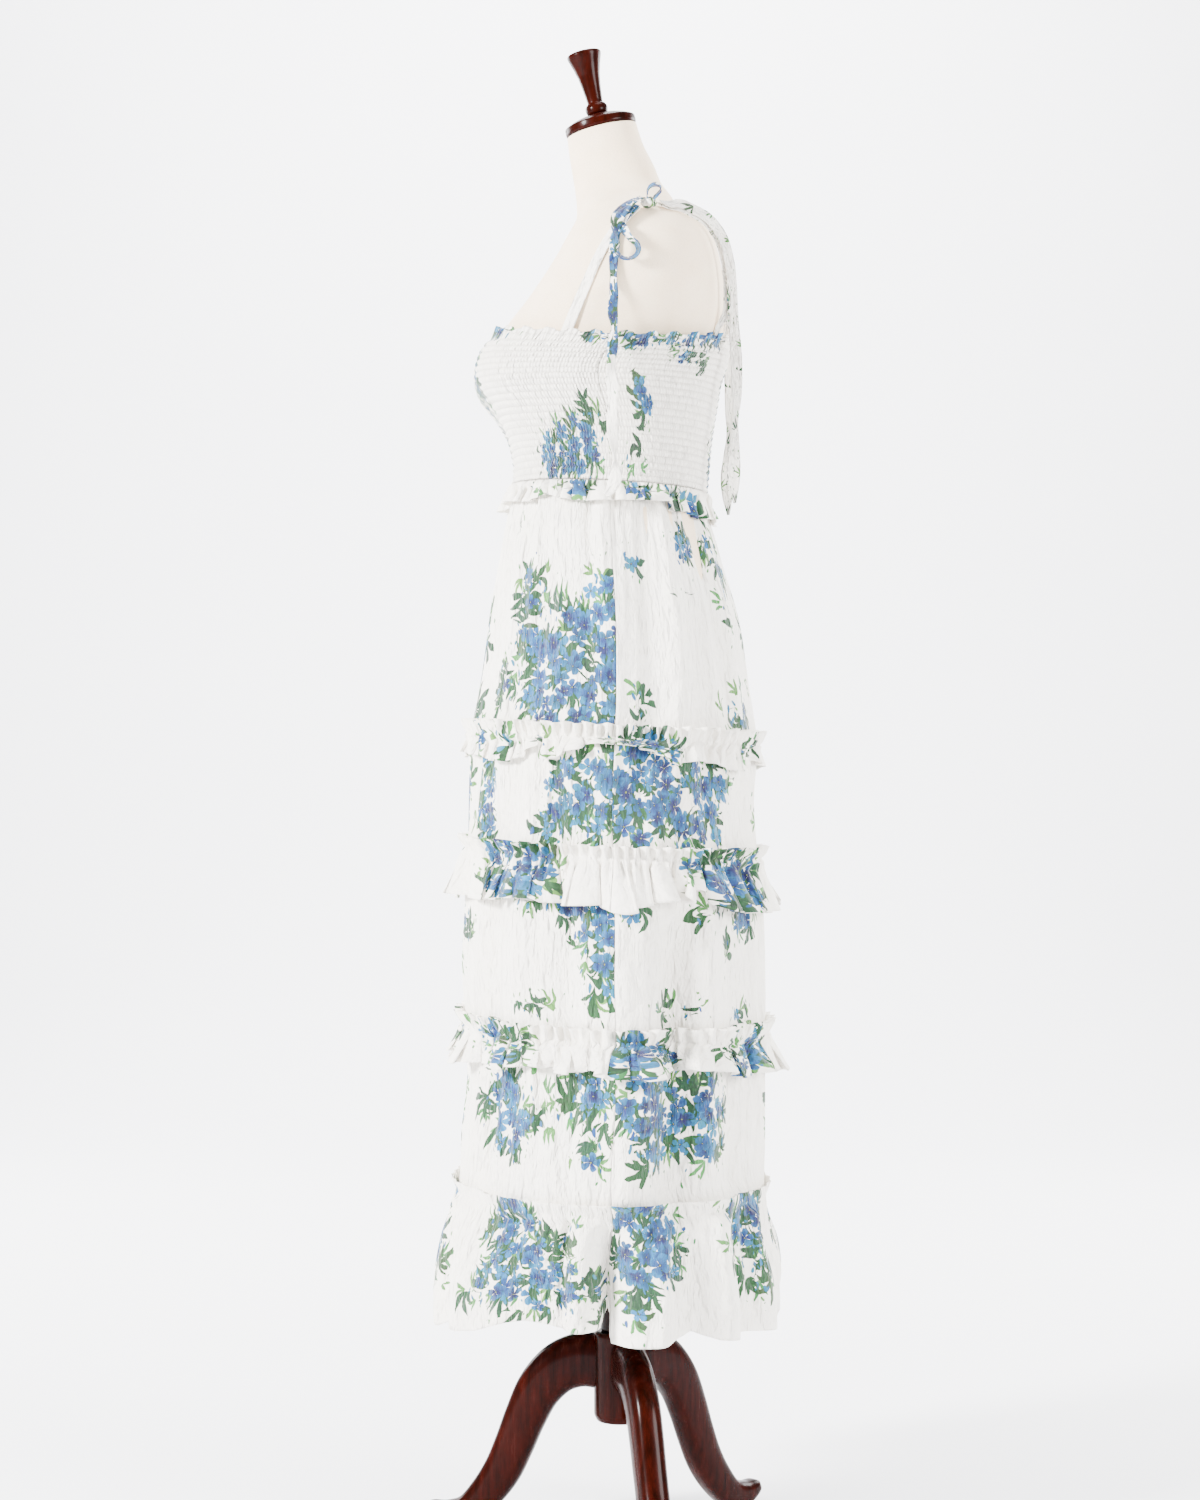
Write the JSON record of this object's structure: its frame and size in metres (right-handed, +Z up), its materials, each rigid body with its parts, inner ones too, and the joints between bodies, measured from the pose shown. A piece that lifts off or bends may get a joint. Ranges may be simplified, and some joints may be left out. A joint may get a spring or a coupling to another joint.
{
  "type": "maxi dress on a dress form",
  "caption": "Sleeveless tiered maxi dress with tie shoulders, smocked bodice and ruffled seams, worn by a limbless dress form on a wooden tripod stand.",
  "frame": {"origin": "on the floor, under the middle of the whole object's box", "axes": "+Z up, -Y the way the dress faces, +X the wearer's left"},
  "size_m": [0.4938, 0.4187, 1.7082],
  "materials": {
    "printed_cloth": "light crinkled plain weave with a floral print in blues and greens on white",
    "linen": "matt natural linen, stretched smooth",
    "dark_wood": "glossy reddish brown lacquer",
    "collar": "dark satin",
    "steel": "satin"
  },
  "bodies": {
    "stand": {"leg_left": "dark_wood", "leg_back": "dark_wood", "leg_front": "dark_wood", "hub": "dark_wood", "collar": "collar", "stand_tube": "steel"},
    "pole": {"pole": "steel"},
    "form": {"form_torso": "linen", "neck_cap": "dark_wood", "finial": "dark_wood", "bodice_front": "printed_cloth", "bodice_back": "printed_cloth", "waist_frill_front": "printed_cloth", "waist_frill_back": "printed_cloth", "tier_1_front": "printed_cloth", "tier_1_back": "printed_cloth", "tier_2_front": "printed_cloth", "tier_2_back": "printed_cloth", "tier_3_front": "printed_cloth", "tier_3_back": "printed_cloth", "tier_4_front": "printed_cloth", "tier_4_back": "printed_cloth", "tier_5_front": "printed_cloth", "tier_5_back": "printed_cloth", "ruffle_1_front": "printed_cloth", "ruffle_1_back": "printed_cloth", "ruffle_2_front": "printed_cloth", "ruffle_2_back": "printed_cloth", "ruffle_3_front": "printed_cloth", "ruffle_3_back": "printed_cloth", "strap_front_left": "printed_cloth", "strap_back_left": "printed_cloth", "knot_left": "printed_cloth", "loop_short_left": "printed_cloth", "loop_long_left": "printed_cloth", "tail_front_left": "printed_cloth", "tail_back_left": "printed_cloth", "strap_front_right": "printed_cloth", "strap_back_right": "printed_cloth", "knot_right": "printed_cloth", "loop_short_right": "printed_cloth", "loop_long_right": "printed_cloth", "tail_front_right": "printed_cloth", "tail_back_right": "printed_cloth"}
  },
  "joints": [
    {"name": "height", "type": "slide", "parent": "stand", "child": "pole", "axis": [0, 0, 1], "range_m": [0, 0.15]},
    {"name": "turn", "type": "hinge", "parent": "pole", "child": "form", "pos_m": [0.0026, 0.0204, 0.93], "axis": [0, 0, 1], "continuous": true}
  ]
}
